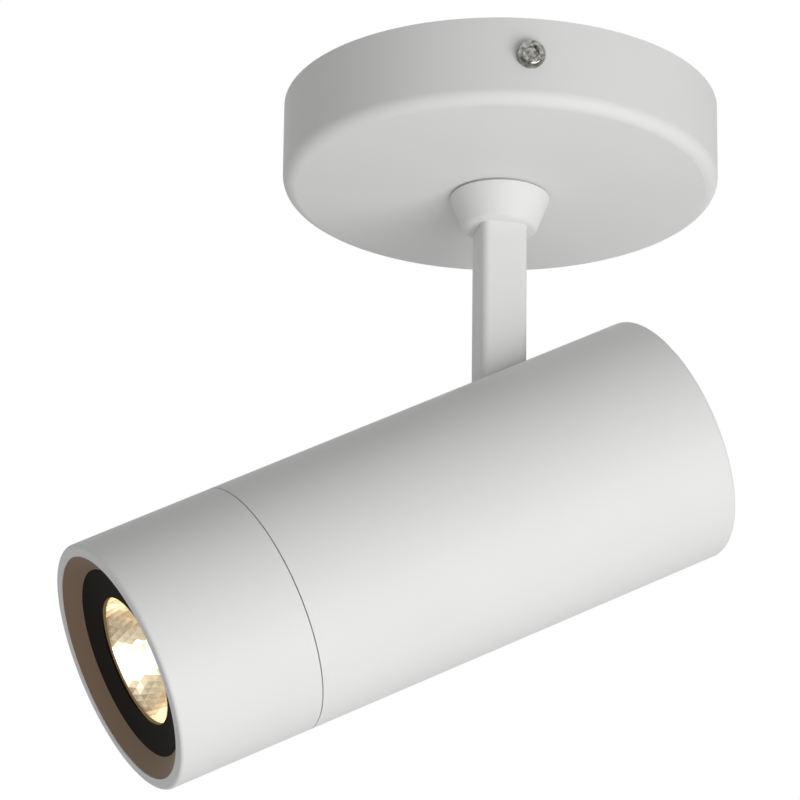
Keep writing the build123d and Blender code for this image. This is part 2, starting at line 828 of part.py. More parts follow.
# Tube that screws over the spigot, with a thicker lip and a ledge inside it for the baffle.
with BuildPart() as front_barrel:
    with BuildSketch(head_section) as barrel_profile:
        with BuildLine():
            Polyline(
                (barrel_bore, barrel_rear),
                (head_radius, barrel_rear),
                (head_radius, head_front),
                (lip_radius, head_front),
                (lip_radius, ledge_front),
                (lip_radius - ledge_width, ledge_front),
                (lip_radius - ledge_width, ledge_front - ledge_height),
                (barrel_bore, ledge_front - ledge_height - ledge_width),
                close=True,
            )
        make_face()
        nose_corner = barrel_profile.vertices().sort_by_distance((head_radius, head_front))[0]
        fillet(nose_corner, nose_fillet)
    revolve(axis=head_axis)
front_barrel.part.label = "front_barrel"
export_step(front_barrel.part, "parts/front_barrel.step")

# Brown-grey trim ring, whose dished face leads in to the baffle.
trim_ring = turned(
    head_section,
    head_axis,
    [
        (trim_radius, head_front - trim_seat_depth),
        (trim_radius, head_front - trim_outer_depth),
        (trim_inner_radius, head_front - trim_inner_depth),
        (trim_inner_radius, head_front - trim_seat_depth),
    ],
)
trim_ring.part.label = "trim_ring"
export_step(trim_ring.part, "parts/trim_ring.step")

# Black baffle, which hides the reflector's edge and seats the lens from behind.
glare_baffle = turned(
    head_section,
    head_axis,
    [
        (baffle_mouth_radius, head_front - baffle_mouth_depth),
        (trim_inner_radius, head_front - trim_inner_depth),
        (trim_inner_radius, head_front - trim_seat_depth),
        (trim_radius, head_front - trim_seat_depth),
        (trim_radius, ledge_front),
        (lens_radius + fit_clearance, ledge_front),
        (lens_radius + fit_clearance, lens_front),
        (baffle_mouth_radius, lens_front),
    ],
)
glare_baffle.part.label = "glare_baffle"
export_step(glare_baffle.part, "parts/glare_baffle.step")

# Clear disc behind the baffle's mouth.
cover_lens = ring(head.offset(lens_back), lens_radius, 0, lens_thickness)
cover_lens.part.label = "cover_lens"
export_step(cover_lens.part, "parts/cover_lens.step")

# Spun reflector, a thin bowl from the holder to just behind the lens.
reflector_middle_height = (holder_top + reflector_front) / 2
with BuildPart() as reflector:
    with BuildSketch(head_section):
        with BuildLine():
            ThreePointArc(
                (reflector_neck, holder_top),
                (reflector_middle, reflector_middle_height),
                (reflector_mouth, reflector_front),
            )
            Polyline(
                (reflector_mouth, reflector_front),
                (reflector_mouth + reflector_rim, reflector_front),
                (reflector_mouth + reflector_rim, reflector_front - reflector_wall),
                (reflector_mouth + reflector_wall, reflector_front - reflector_wall),
            )
            ThreePointArc(
                (reflector_mouth + reflector_wall, reflector_front - reflector_wall),
                (reflector_middle + reflector_wall, reflector_middle_height - reflector_wall / 2),
                (reflector_neck + reflector_wall, holder_top),
            )
            Line((reflector_neck + reflector_wall, holder_top), (reflector_neck, holder_top))
        make_face()
    revolve(axis=head_axis)
reflector.part.label = "reflector"
export_step(reflector.part, "parts/reflector.step")
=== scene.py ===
# %% [markdown]
# # A ceiling spotlight in white powder coat
#
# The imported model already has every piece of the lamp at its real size. This lesson loads it as a fixed
# frame, gives each piece the finish of the real one, and models again the few small pieces whose looks need
# more than a plain solid: the knurled side screws, the swivel's collar with its soft edge, the faceted
# reflector, the light source behind it, and the driver and terminal block inside the canopy. Lengths are in
# metres, as in Blender, and small ones are written in `mm`.

# %% Load the frame
import json
import math

import bmesh
import bpy
from mathutils import Matrix, Vector


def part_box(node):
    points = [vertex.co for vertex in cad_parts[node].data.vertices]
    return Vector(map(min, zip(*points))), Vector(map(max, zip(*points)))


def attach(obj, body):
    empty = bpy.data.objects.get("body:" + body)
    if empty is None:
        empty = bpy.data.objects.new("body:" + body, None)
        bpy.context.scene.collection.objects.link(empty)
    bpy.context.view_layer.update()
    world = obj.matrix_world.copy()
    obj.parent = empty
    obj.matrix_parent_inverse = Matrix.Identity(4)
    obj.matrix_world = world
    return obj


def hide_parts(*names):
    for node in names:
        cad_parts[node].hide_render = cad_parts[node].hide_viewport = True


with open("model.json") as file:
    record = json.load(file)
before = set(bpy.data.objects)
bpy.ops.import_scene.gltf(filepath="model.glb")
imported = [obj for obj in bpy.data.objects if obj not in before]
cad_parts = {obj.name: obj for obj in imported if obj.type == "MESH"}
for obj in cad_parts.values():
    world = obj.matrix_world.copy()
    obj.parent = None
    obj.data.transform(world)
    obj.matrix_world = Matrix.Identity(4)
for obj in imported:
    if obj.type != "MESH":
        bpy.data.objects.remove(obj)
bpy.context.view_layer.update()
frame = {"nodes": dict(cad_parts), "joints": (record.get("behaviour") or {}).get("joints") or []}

mm = 0.001

# %% [markdown]
# ## Where the head is
#
# Nothing is placed by eye. The joints say where the head hangs and which way it points: the tilt joint gives
# the hinge bolt, and the slide of the front barrel runs along the head's axis. From those two comes one
# matrix for the head, in which Z runs forward to the mouth. A turned piece is drawn upright on Z, as on a
# lathe, and this matrix then puts it in the head.

# %% Read the head's place from its joints
joints = {joint["name"]: joint for joint in frame["joints"]}
pivot = Vector(joints["tilt"]["pos_m"])
forward = Vector(joints["barrel_removal"]["axis"]).normalized()
hinge_line = -Vector(joints["tilt"]["axis"]).normalized()
head_up = hinge_line.cross(forward)
head_place = Matrix.Translation(pivot) @ Matrix((head_up, hinge_line, forward)).transposed().to_4x4()
print("hinge bolt:", [round(v / mm, 1) for v in pivot], "head points:", [round(v, 2) for v in forward])

# %% [markdown]
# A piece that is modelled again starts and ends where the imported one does, so its extent along the head is
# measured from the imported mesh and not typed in.


# %% Measure a node along the head
def along_head(node):
    """Lowest and highest place of a node on the head's axis, and its largest distance from the axis."""
    back = head_place.inverted()
    points = [back @ vertex.co for vertex in frame["nodes"][node].data.vertices]
    reach = max(math.hypot(point.x, point.y) for point in points)
    return min(point.z for point in points), max(point.z for point in points), reach


for node_name in ("reflector", "led_chip", "cover_lens", "trim_ring"):
    print(node_name, [round(value / mm, 2) for value in along_head(node_name)])

# %% [markdown]
# ## Camera
#
# The photograph was taken with a long lens from below, a little to the left. The lens is known as a number
# of picture widths, which a 36 mm sensor turns into millimetres. The camera looked almost at the canopy, so
# three small turns bring the lamp to its place in the picture. A long lens from 1.2 m keeps the head's far
# end nearly as large as its near end, as in the photograph.

# %% Make the camera
sensor_width = 36.0
lens_in_pictures = 6.3394
camera_distance = 1.23418
camera_azimuth = math.radians(-7.61223)
camera_elevation = math.radians(-24.30248)
camera_roll = math.radians(-0.28466)
camera_nod = math.radians(3.27664)
camera_swing = math.radians(-1.11678)

from_lamp = Vector(
    (
        math.sin(camera_azimuth) * math.cos(camera_elevation),
        -math.cos(camera_azimuth) * math.cos(camera_elevation),
        math.sin(camera_elevation),
    )
)
camera_right = Vector((0, 0, 1)).cross(from_lamp).normalized()
camera_top = from_lamp.cross(camera_right)
facing = Matrix((camera_right, camera_top, from_lamp))
small_turns = (
    Matrix.Rotation(camera_roll, 3, "Z")
    @ Matrix.Rotation(camera_nod, 3, "X")
    @ Matrix.Rotation(camera_swing, 3, "Y")
)
camera_data = bpy.data.cameras.new("camera")
camera_data.sensor_width = sensor_width
camera_data.lens = sensor_width * lens_in_pictures
camera_data.clip_end = 20
camera = bpy.data.objects.new("camera", camera_data)
camera.matrix_world = (
    Matrix.Translation(from_lamp * camera_distance) @ (small_turns @ facing).transposed().to_4x4()
)
bpy.context.scene.collection.objects.link(camera)
bpy.context.scene.camera = camera
print("lens:", round(camera_data.lens, 1), "mm")

# %% [markdown]
# ## Colours and nodes
#
# Colours are written as on a paint card, in sRGB hex. Blender computes in linear light, so one function
# turns them. Another small function adds a node with its settings and links, which keeps each material
# short enough to read as a recipe.


# %% Helpers for materials
def linear(code):
    """A hex colour as linear red, green and blue, and an alpha of 1."""
    parts = [int(code[start : start + 2], 16) / 255 for start in (0, 2, 4)]
    return (*[p / 12.92 if p <= 0.04045 else ((p + 0.055) / 1.055) ** 2.4 for p in parts], 1.0)


def add(tree, kind, inputs=(), **settings):
    """Add a node, set its properties, give its inputs values or links, and return its outputs."""
    node = tree.nodes.new("ShaderNode" + kind)
    for name, value in settings.items():
        setattr(node, name, value)
    for name, value in dict(inputs).items():
        if isinstance(value, bpy.types.NodeSocket):
            tree.links.new(value, node.inputs[name])
        else:
            node.inputs[name].default_value = value
    return node.outputs


def start_material(name):
    """A new material and its empty node tree."""
    made = bpy.data.materials.new(name)
    made.use_nodes = True
    made.node_tree.nodes.clear()
    return made, made.node_tree


print("linear middle grey:", [round(value, 3) for value in linear("808080")])

# %% [markdown]
# ## Room and light
#
# The lamp was photographed in a white studio. The world is white to the camera and to reflections, through
# Light Path, while its own light on the lamp stays at a plain level. One large soft panel stands low, in
# front and to the right, where the photograph's brightest sides face. The tops and the left sides stay
# greyer, because only the room's own light reaches them.

# %% World
room_level = 0.315
world = bpy.data.worlds.new("studio")
bpy.context.scene.world = world
world.use_nodes = True
room = world.node_tree
room.nodes.clear()
ray = add(room, "LightPath")
seen = add(room, "Math", {0: ray["Is Camera Ray"], 1: ray["Is Glossy Ray"]}, operation="MAXIMUM")
seen = add(room, "Math", {0: seen[0], 1: ray["Is Transmission Ray"]}, operation="MAXIMUM")
dim = add(room, "Background", {"Color": linear("FFFFFF"), "Strength": room_level})
white = add(room, "Background", {"Color": linear("FFFFFF"), "Strength": 1.0})
both = add(room, "MixShader", {0: seen[0], 1: dim[0], 2: white[0]})
add(room, "OutputWorld", {"Surface": both[0]})
bpy.context.scene.view_settings.view_transform = "Standard"
print("room level:", room_level)

# %% Key panel
lamp_middle = Vector((-20 * mm, 0, -80 * mm))
key_direction = Vector((0.42, -0.68, -0.60)).normalized()
key_distance = 1.6
key_data = bpy.data.lights.new("key_panel", "AREA")
key_data.size = 1.2
key_data.energy = 20.0
key_panel = bpy.data.objects.new("key_panel", key_data)
key_panel.matrix_world = (
    Matrix.Translation(lamp_middle + key_direction * key_distance)
    @ key_direction.to_track_quat("Z", "Y").to_matrix().to_4x4()
)
bpy.context.scene.collection.objects.link(key_panel)
print("key panel:", key_data.energy, "W")

# %% [markdown]
# The floor is pale and far below, as the lamp hangs from a ceiling. It is outside the photograph's view, and
# a look from above shows the lamp's soft shadow on it. A little light of its own keeps it pale, because the
# panel stands too low to reach it well.

# %% Floor
floor_drop = 1.3
floor_half = 6.0
floor_mesh = bpy.data.meshes.new("floor")
corner_signs = ((-1, -1), (1, -1), (1, 1), (-1, 1))
floor_corners = [(x * floor_half, y * floor_half, -floor_drop) for x, y in corner_signs]
floor_mesh.from_pydata(floor_corners, [], [(0, 1, 2, 3)])
floor = bpy.data.objects.new("floor", floor_mesh)
bpy.context.scene.collection.objects.link(floor)

floor_paint, tree = start_material("floor_paint")
paint = {
    "Base Color": linear("F2F2F0"),
    "Roughness": 0.9,
    "Emission Color": linear("FFFFFF"),
    "Emission Strength": 0.10,
}
add(tree, "OutputMaterial", {"Surface": add(tree, "BsdfPrincipled", paint)[0]})
floor_mesh.materials.append(floor_paint)
print("floor:", floor_drop, "m below the ceiling")

# %% [markdown]
# ## White powder coat
#
# The canopy, the swivel, the stem and the head are painted with a polyester powder, sprayed on dry and then
# baked. It melts into a matt skin with a slight orange peel, about a millimetre and a half from crest to
# crest and about a hundredth of a millimetre deep. The eye gets a wide soft highlight and no mirror. One
# noise makes the peel and a finer one the grain of the powder. The real grain is too fine to show, so it is
# drawn at a quarter of a millimetre, about a pixel of the picture. A very slow noise keeps the white from
# being a single flat colour.

# %% White powder coat
white_powder_coat, tree = start_material("white_powder_coat")
peel_size = 1.5 * mm
grain_size = 0.25 * mm
place = add(tree, "TexCoord")["Object"]
peel = add(tree, "TexNoise", {"Vector": place, "Scale": 1 / peel_size, "Detail": 1.0})
grain = add(tree, "TexNoise", {"Vector": place, "Scale": 1 / grain_size, "Detail": 1.0})
fine = add(tree, "Bump", {"Strength": 0.4, "Distance": 0.006 * mm, "Height": grain["Fac"]})
rough = add(tree, "Bump", {"Strength": 0.5, "Distance": 0.02 * mm, "Height": peel["Fac"], "Normal": fine[0]})
cloud = add(tree, "TexNoise", {"Vector": place, "Scale": 1 / (30 * mm), "Detail": 1.0})
coat_whites = {"Fac": cloud["Fac"], "Color1": linear("E9E9E8"), "Color2": linear("EDEDEC")}
coat_white = add(tree, "MixRGB", coat_whites)
coat_gloss = add(tree, "MapRange", {"Value": peel["Fac"], "To Min": 0.52, "To Max": 0.62})
skin = add(
    tree,
    "BsdfPrincipled",
    {
        "Base Color": coat_white[0],
        "Roughness": coat_gloss[0],
        "Specular IOR Level": 0.35,
        "Normal": rough[0],
    },
)
add(tree, "OutputMaterial", {"Surface": skin[0]})
print("peel:", peel_size / mm, "mm")


# %% [markdown]
# ## Metals
#
# The fasteners are turned or rolled, the bracket is pressed from zinc-plated sheet, and the heat sink is
# die-cast. All are bare metal, so one recipe serves them: a light and a dark shade of the metal's own
# colour, and one noise of the size of its tool marks, which mixes the shades, shifts the gloss and makes a
# faint bump. On the stainless steel the dark shade is a painted reflection instead. What differs is the
# shades, the gloss, and the size and depth of the marks.


# %% Bare metals
def bare_metal(name, colour, shade, gloss, mark, depth):
    """A bare metal with marks of a given size and depth in metres."""
    made, tree = start_material(name)
    place = add(tree, "TexCoord")["Object"]
    marks = add(tree, "TexNoise", {"Vector": place, "Scale": 1 / mark, "Detail": 3.0})
    relief = add(tree, "Bump", {"Strength": 0.4, "Distance": depth, "Height": marks["Fac"]})
    spread = add(tree, "MapRange", {"Value": marks["Fac"], "To Min": gloss * 0.8, "To Max": gloss * 1.25})
    contrast = add(tree, "MapRange", {"Value": marks["Fac"], "From Min": 0.36, "From Max": 0.64})
    tone = add(tree, "MixRGB", {"Fac": contrast[0], "Color1": linear(shade), "Color2": linear(colour)})
    metal = {"Base Color": tone[0], "Metallic": 1.0, "Roughness": spread[0], "Normal": relief[0]}
    add(tree, "OutputMaterial", {"Surface": add(tree, "BsdfPrincipled", metal)[0]})
    return made


# Stainless steel, cold formed and tumbled: a grey mirror with sharp glints on its edges. So small a mirror
# shows light and dark things of a room side by side. This white room has no dark ones, so the two shades lie
# far apart, and the dark shade, mottled by the noise, is a painted reflection of them.
stainless_steel = bare_metal("stainless_steel", "B4B3AC", "6A6964", 0.13, 0.9 * mm, 0.02 * mm)
# Zinc plating, passivated blue-white: duller and a little cool.
zinc_plated_steel = bare_metal("zinc_plated_steel", "B9BBBF", "A6AAAF", 0.36, 0.9 * mm, 0.008 * mm)
# Die-cast aluminium as it leaves the die: grey and grainy.
die_cast_aluminium = bare_metal("die_cast_aluminium", "B9BABC", "A8A9AC", 0.45, 0.6 * mm, 0.02 * mm)
# Turned brass of the clamping screws: yellow and bright.
turned_brass = bare_metal("turned_brass", "C9A45B", "B5914A", 0.26, 0.3 * mm, 0.004 * mm)
print("metals:", [m.name for m in (stainless_steel, zinc_plated_steel, die_cast_aluminium, turned_brass)])

# %% [markdown]
# ## Plastics and rubbers
#
# The driver's case, the terminal block, the holder and the trim are moulded. Their moulds are spark-eroded,
# which leaves a fine even grain that dulls the plastic to a satin. The real grain is near 0.1 mm, finer than
# a pixel of the picture, so it is drawn at about 0.35 mm. Rubber, lacquer and paint use the same recipe, and
# the foam uses it with a coarser and deeper grain.


# %% Moulded pieces
def moulded(name, colour, shade, gloss, grain=0.35 * mm, depth=0.01 * mm, shine=0.5):
    """A moulded plastic or rubber with the grain that its mould leaves."""
    made, tree = start_material(name)
    place = add(tree, "TexCoord")["Object"]
    spark = add(tree, "TexNoise", {"Vector": place, "Scale": 1 / grain, "Detail": 2.0})
    relief = add(tree, "Bump", {"Strength": 0.5, "Distance": depth, "Height": spark["Fac"]})
    spread = add(tree, "MapRange", {"Value": spark["Fac"], "To Min": gloss - 0.06, "To Max": gloss + 0.06})
    tone = add(tree, "MixRGB", {"Fac": spark["Fac"], "Color1": linear(shade), "Color2": linear(colour)})
    body = {"Base Color": tone[0], "Roughness": spread[0], "Specular IOR Level": shine, "Normal": relief[0]}
    add(tree, "OutputMaterial", {"Surface": add(tree, "BsdfPrincipled", body)[0]})
    return made


# Natural nylon of the sliding washers inside: milky.
natural_nylon = moulded("natural_nylon", "D9D6CC", "CFCBC0", 0.50)
# Grey nylon of the outer washer, which shows as a thin soft line between the canopy and the collar.
grey_nylon = moulded("grey_nylon", "BBBAB6", "AEADA9", 0.50)
# Polycarbonate of the driver and the lamp holder: plain white.
white_polycarbonate = moulded("white_polycarbonate", "E6E6E3", "DEDEDA", 0.50)
# Polyamide of the terminal block: cream.
cream_polyamide = moulded("cream_polyamide", "D2CDBE", "C8C2B2", 0.50)
# Polyethylene foam of the double-sided tape: open and quite matt.
grey_foam = moulded("grey_foam", "CDCDCA", "B4B4B0", 0.90, 0.7 * mm, 0.08 * mm)
# Nitrile rubber of the seal: black, with a dull sheen.
black_rubber = moulded("black_rubber", "1B1B1B", "121212", 0.70)
# Silicone pad with ceramic powder: grey and matt.
grey_heat_pad = moulded("grey_heat_pad", "8F949A", "82878D", 0.80)
# Solder mask of the board: a glossy white lacquer.
white_solder_mask = moulded("white_solder_mask", "EDEDE9", "E4E4DF", 0.30)
# Painted trim ring: brown-grey satin.
taupe_satin_paint = moulded("taupe_satin_paint", "8B7663", "836E5B", 0.60, shine=0.25)
# Black polycarbonate of the baffle, grained so that it swallows stray light.
matt_black_plastic = moulded("matt_black_plastic", "211C18", "191512", 0.85, shine=0.12)
print("moulded finishes, from", natural_nylon.name, "to", matt_black_plastic.name)

# %% [markdown]
# ## Leads
#
# A lead comes in pairs, and the eye tells them apart by colour: brown and blue for the mains, red and black
# for the driver's output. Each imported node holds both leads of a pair, one on each side of the lamp's middle
# plane, so the material takes its colour from the side that a point lies on.


# %% Pairs of leads
def lead_pair(name, colour_plus, colour_minus):
    """Silicone insulation in two colours, one for each side of the middle plane."""
    made, tree = start_material(name)
    place = add(tree, "TexCoord")["Object"]
    sideways = add(tree, "VectorMath", {0: place, 1: hinge_line}, operation="DOT_PRODUCT")["Value"]
    side = add(tree, "Math", {0: sideways, 1: 0.0}, operation="GREATER_THAN")
    colour = {"Fac": side[0], "Color1": linear(colour_minus), "Color2": linear(colour_plus)}
    tone = add(tree, "MixRGB", colour)
    ripple = add(tree, "TexNoise", {"Vector": place, "Scale": 1 / (0.8 * mm), "Detail": 1.0})
    spread = add(tree, "MapRange", {"Value": ripple["Fac"], "To Min": 0.38, "To Max": 0.50})
    relief = add(tree, "Bump", {"Strength": 0.3, "Distance": 0.02 * mm, "Height": ripple["Fac"]})
    jacket = {"Base Color": tone[0], "Roughness": spread[0], "Normal": relief[0]}
    add(tree, "OutputMaterial", {"Surface": add(tree, "BsdfPrincipled", jacket)[0]})
    return made


mains_silicone = lead_pair("mains_silicone", "6B4526", "2F5D9C")
output_silicone = lead_pair("output_silicone", "A32B22", "222222")
print("lead pairs:", mains_silicone.name, output_silicone.name)

# %% [markdown]
# ## Light source, reflector and lens
#
# The light comes from a round source under a yellow phosphor, in a bowl of spun aluminium with a bright
# anodised skin. The source is far brighter than a picture can hold. Here it glows just enough to be the
# palest thing in the bowl, so that the facets round it keep their tones. The dies under the phosphor show
# as spots, a little brighter in their middles. The lens is glass with an anti-reflection coating, so it is
# nearly clear even when it is seen at a flat angle.

# %% Phosphor
phosphor_glow, tree = start_material("phosphor_glow")
glow_strength = 2.2
die_pitch = 1.3 * mm
place = add(tree, "TexCoord")["Object"]
dies = add(tree, "TexVoronoi", {"Vector": place, "Scale": 1 / die_pitch})
between_dies = glow_strength * 0.8
bright = add(tree, "MapRange", {"Value": dies["Distance"], "To Min": glow_strength, "To Max": between_dies})
glow = add(tree, "Emission", {"Color": linear("FFE2B0"), "Strength": bright[0]})
add(tree, "OutputMaterial", {"Surface": glow[0]})
print("glow:", glow_strength)

# %% [markdown]
# The bowl throws the light forward, and an eye to the side sees only what its facets leak. On such bowls
# that is a white-hot patch on two opposite walls, with a toothed edge because a facet is either in it or
# not, and a tan field elsewhere in which every facet has its own tone. A path tracer finds these few leaks
# slowly and with much noise. So the polish is real metal, and the leak is painted on as a glow, a painted
# reflection that asks each flat facet which way it faces, in the bowl's own space: around the axis for the
# patches, and through a noise for the tone of the single facet.

# %% Bright anodised aluminium, the polish
bright_anodised_aluminium, tree = start_material("bright_anodised_aluminium")
bowl_space = add(tree, "TexCoord")
mottle = add(tree, "TexNoise", {"Vector": bowl_space["Object"], "Scale": 1 / (0.8 * mm), "Detail": 2.0})
haze = add(tree, "MapRange", {"Value": mottle["Fac"], "To Min": 0.14, "To Max": 0.22})
relief = add(tree, "Bump", {"Strength": 0.3, "Distance": 0.01 * mm, "Height": mottle["Fac"]})
tones_round = 11.0
single = add(tree, "TexNoise", {"Vector": bowl_space["Normal"], "Scale": tones_round, "Detail": 0.0})
single = add(tree, "MapRange", {"Value": single["Fac"], "From Min": 0.35, "From Max": 0.65})
tone = add(tree, "MixRGB", {"Fac": single[0], "Color1": linear("E2CFA9"), "Color2": linear("F4EAD4")})
print("polished skin:", bright_anodised_aluminium.name)

# %% [markdown]
# A facet is in a painted patch of light if it faces to one of the two sides, and the tone of the single facet
# makes the end of the patch a little ragged. The rim faces forward, along the axis, and takes no part in the
# patches.

# %% Bright anodised aluminium, the patches
flat = add(tree, "VectorMath", {0: bowl_space["Normal"], 1: (1, 1, 0)}, operation="MULTIPLY")
around = add(tree, "VectorMath", {0: flat[0]}, operation="NORMALIZE")
patch_angle = math.radians(83)
patch_side = (math.cos(patch_angle), math.sin(patch_angle), 0)
patch_end = 0.958
patch_full = 0.988
raggedness = 0.05
sideways = add(tree, "VectorMath", {0: around[0], 1: patch_side}, operation="DOT_PRODUCT")["Value"]
sideways = add(tree, "Math", {0: sideways}, operation="ABSOLUTE")
ragged = add(tree, "Math", {0: single[0], 1: raggedness, 2: sideways[0]}, operation="MULTIPLY_ADD")
patch = add(tree, "MapRange", {"Value": ragged[0], "From Min": patch_end, "From Max": patch_full})
across = add(tree, "VectorMath", {0: flat[0]}, operation="LENGTH")["Value"]
wall = add(tree, "MapRange", {"Value": across, "From Min": 0.5, "From Max": 0.7})
patch = add(tree, "Math", {0: patch[0], 1: wall[0]}, operation="MULTIPLY")
print("bright patches lie", round(math.degrees(patch_angle)), "degrees from the top, on both sides")

# %% [markdown]
# Patches and field are one painted glow, a painted reflection with two colours and strengths. How far a
# facet faces outward, times its distance from the axis, is less than nothing on the inside, nothing on the
# rim and the bowl's ends, which face along the axis, and about 7 mm or more on the outside. A limit between
# them keeps the glow off the outside, which is plain polished metal.

# %% Bright anodised aluminium, the glow
outside_limit = 3 * mm
patch_strength = 1.3
# Painted reflection: the inside of the bowl glows, though it is no lamp, with the patches and the field of
# light that its facets would throw to the eye.
painted_leak_colour = add(tree, "MixRGB", {"Fac": patch[0], "Color1": linear("D9B988"), "Color2": linear("FFFBF2")})
field = add(tree, "MapRange", {"Value": single[0], "To Min": 0.22, "To Max": 0.36})
painted_leak = add(tree, "MapRange", {"Value": patch[0], "To Min": field[0], "To Max": patch_strength})
outward = add(tree, "VectorMath", {0: flat[0], 1: bowl_space["Object"]}, operation="DOT_PRODUCT")["Value"]
inside_wall = add(tree, "Math", {0: outward, 1: outside_limit}, operation="LESS_THAN")
painted_leak = add(tree, "Math", {0: painted_leak[0], 1: inside_wall[0]}, operation="MULTIPLY")
polished = {
    "Base Color": tone[0],
    "Metallic": 1.0,
    "Roughness": haze[0],
    "Normal": relief[0],
    "Emission Color": painted_leak_colour[0],
    "Emission Strength": painted_leak[0],
}
add(tree, "OutputMaterial", {"Surface": add(tree, "BsdfPrincipled", polished)[0]})
print("glow of the patches:", patch_strength)

# %% Coated glass
coated_glass, tree = start_material("coated_glass")
clear = add(tree, "BsdfTransparent", {"Color": linear("FBFBFA")})
place = add(tree, "TexCoord")["Object"]
smear = add(tree, "TexNoise", {"Vector": place, "Scale": 1 / (6 * mm), "Detail": 1.0})
shine = add(tree, "BsdfGlossy", {"Color": linear("FFFFFF"), "Roughness": 0.03})
edge = add(tree, "LayerWeight", {"Blend": 0.06})
faint = add(tree, "MapRange", {"Value": smear["Fac"], "To Min": 0.10, "To Max": 0.16})
weak = add(tree, "Math", {0: edge["Fresnel"], 1: faint[0]}, operation="MULTIPLY")
glass = add(tree, "MixShader", {0: weak[0], 1: clear[0], 2: shine[0]})
add(tree, "OutputMaterial", {"Surface": glass[0]})
print("glass:", coated_glass.name)

# %% [markdown]
# ## Which piece has which finish
#
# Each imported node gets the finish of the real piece. A node whose shape is right is kept as it is, and only
# its material changes.

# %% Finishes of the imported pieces
finishes = {
    white_powder_coat: ["canopy_cover", "swivel_collar", "stem", "rear_housing", "rear_cap", "front_barrel"],
    zinc_plated_steel: ["mounting_bracket", "stop_washer", "swivel_nut", "swivel_nipple"]
    + ["hinge_bracket", "disc_spring", "hinge_nut"],
    stainless_steel: ["canopy_screws", "hinge_bolt", "tie_screws", "bracket_screws", "holder_screws"],
    turned_brass: ["earth_screw", "terminal_screws"],
    grey_foam: ["driver_tape"],
    white_polycarbonate: ["led_driver", "led_holder"],
    cream_polyamide: ["terminal_block"],
    mains_silicone: ["driver_leads"],
    output_silicone: ["stem_leads", "board_leads"],
    natural_nylon: ["friction_washer", "hinge_washers"],
    grey_nylon: ["collar_washer"],
    die_cast_aluminium: ["heat_sink"],
    black_rubber: ["barrel_seal"],
    grey_heat_pad: ["thermal_pad"],
    white_solder_mask: ["led_board"],
    phosphor_glow: ["led_chip"],
    bright_anodised_aluminium: ["reflector"],
    taupe_satin_paint: ["trim_ring"],
    matt_black_plastic: ["glare_baffle"],
    coated_glass: ["cover_lens"],
}
for finish, node_names in finishes.items():
    for node_name in node_names:
        node_mesh = frame["nodes"][node_name].data
        node_mesh.materials.clear()
        node_mesh.materials.append(finish)
dressed = sum(len(node_names) for node_names in finishes.values())
print("finished nodes:", dressed, "of", len(frame["nodes"]))

# %% [markdown]
# ## One way to make a piece
#
# Screws, bowls, cases and blocks can all be seen as a stack of closed outlines with a skin between them, the
# way a lathe or a loft works. One function takes the outlines in order, each with the same number of points,
# and joins each to the next. A solid piece gets a cap at both ends. A thin ring-shaped piece, such as the
# reflector, has its last outline joined to its first instead. Writing the mesh this way leaves no stray
# faces, and every edge is where the real piece has one.


# %% Skin over a stack of outlines
def skinned(name, outlines, finish, ring_shaped=False, triangles=False, crease=35):
    """A mesh object over closed outlines. Triangles suit outlines that turn half a step each time."""
    count = len(outlines[0])
    points = [point for outline in outlines for point in outline]
    faces = []
    for row in range(len(outlines) if ring_shaped else len(outlines) - 1):
        low = row * count
        high = (row + 1) % len(outlines) * count
        for step in range(count):
            beside = (step + 1) % count
            if triangles and row % 2 == 0:
                faces.append((low + step, low + beside, high + step))
                faces.append((low + beside, high + beside, high + step))
            elif triangles:
                faces.append((low + step, low + beside, high + beside))
                faces.append((low + step, high + beside, high + step))
            else:
                faces.append((low + step, low + beside, high + beside, high + step))
    if not ring_shaped:
        faces.append(tuple(reversed(range(count))))
        faces.append(tuple(range(len(points) - count, len(points))))
    mesh = bpy.data.meshes.new(name)
    mesh.from_pydata(points, [], faces)
    shell = bmesh.new()
    shell.from_mesh(mesh)
    bmesh.ops.recalc_face_normals(shell, faces=shell.faces)
    shell.to_mesh(mesh)
    shell.free()
    mesh.materials.append(finish)
    mesh.polygons.foreach_set("use_smooth", [True] * len(mesh.polygons))
    mesh.set_sharp_from_angle(angle=math.radians(crease))
    piece = bpy.data.objects.new(name, mesh)
    bpy.context.scene.collection.objects.link(piece)
    return piece


def circle(radius, height, count, turn=0.0):
    """One outline of a turned piece. The radius may be a function of the angle."""
    outline = []
    for step in range(count):
        angle = 2 * math.pi * (step + turn) / count
        reach = radius(angle) if callable(radius) else radius
        outline.append((reach * math.cos(angle), reach * math.sin(angle), height))
    return outline


def settle(piece, place, body, slot_name, *nodes):
    """Put a piece in its place, on its body, and in the stead of its nodes; slot_name is not used."""
    piece.matrix_world = place
    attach(piece, body)
    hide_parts(*nodes)


print("outline of 4 points:", circle(1, 0, 4))

# %% [markdown]
# ## Side screws
#
# Two low socket screws hold the canopy to the strap behind it. Their heads are knurled, so that fingers can
# start them, and take a 3 mm hexagon key. The knurl and the hexagon both fit the outline idea: the radius
# follows the angle, as a fine zigzag on the side of the head, and as the sides of a hexagon in the socket.
# The head's upper edge is a full round and its face is a little domed, and that curve, with the painted
# reflection in the steel's dark shade, gives the polished head its dark ring and its glints.

